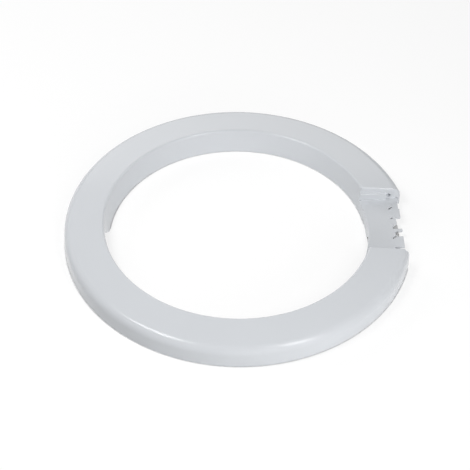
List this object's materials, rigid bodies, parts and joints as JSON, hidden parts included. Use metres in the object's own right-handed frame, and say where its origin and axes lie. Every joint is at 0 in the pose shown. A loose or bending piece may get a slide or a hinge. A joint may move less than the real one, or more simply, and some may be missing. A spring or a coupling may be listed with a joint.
{
  "type": "washing machine door frame",
  "caption": "Round outer door frame of a front-loading washing machine: a shallow white channel-section ring with a stepped pocket for the handle.",
  "frame": {"origin": "on the porthole's axis, in the plane of the rear rim and of the screw bosses' ends", "axes": "+Z out of the door's front face, +X towards the handle pocket, +Y towards the top of the door"},
  "size_m": [0.3934, 0.4, 0.0284],
  "materials": {
    "white_plastic": "gloss"
  },
  "bodies": {
    "root": {"door_frame": "white_plastic"}
  },
  "joints": []
}
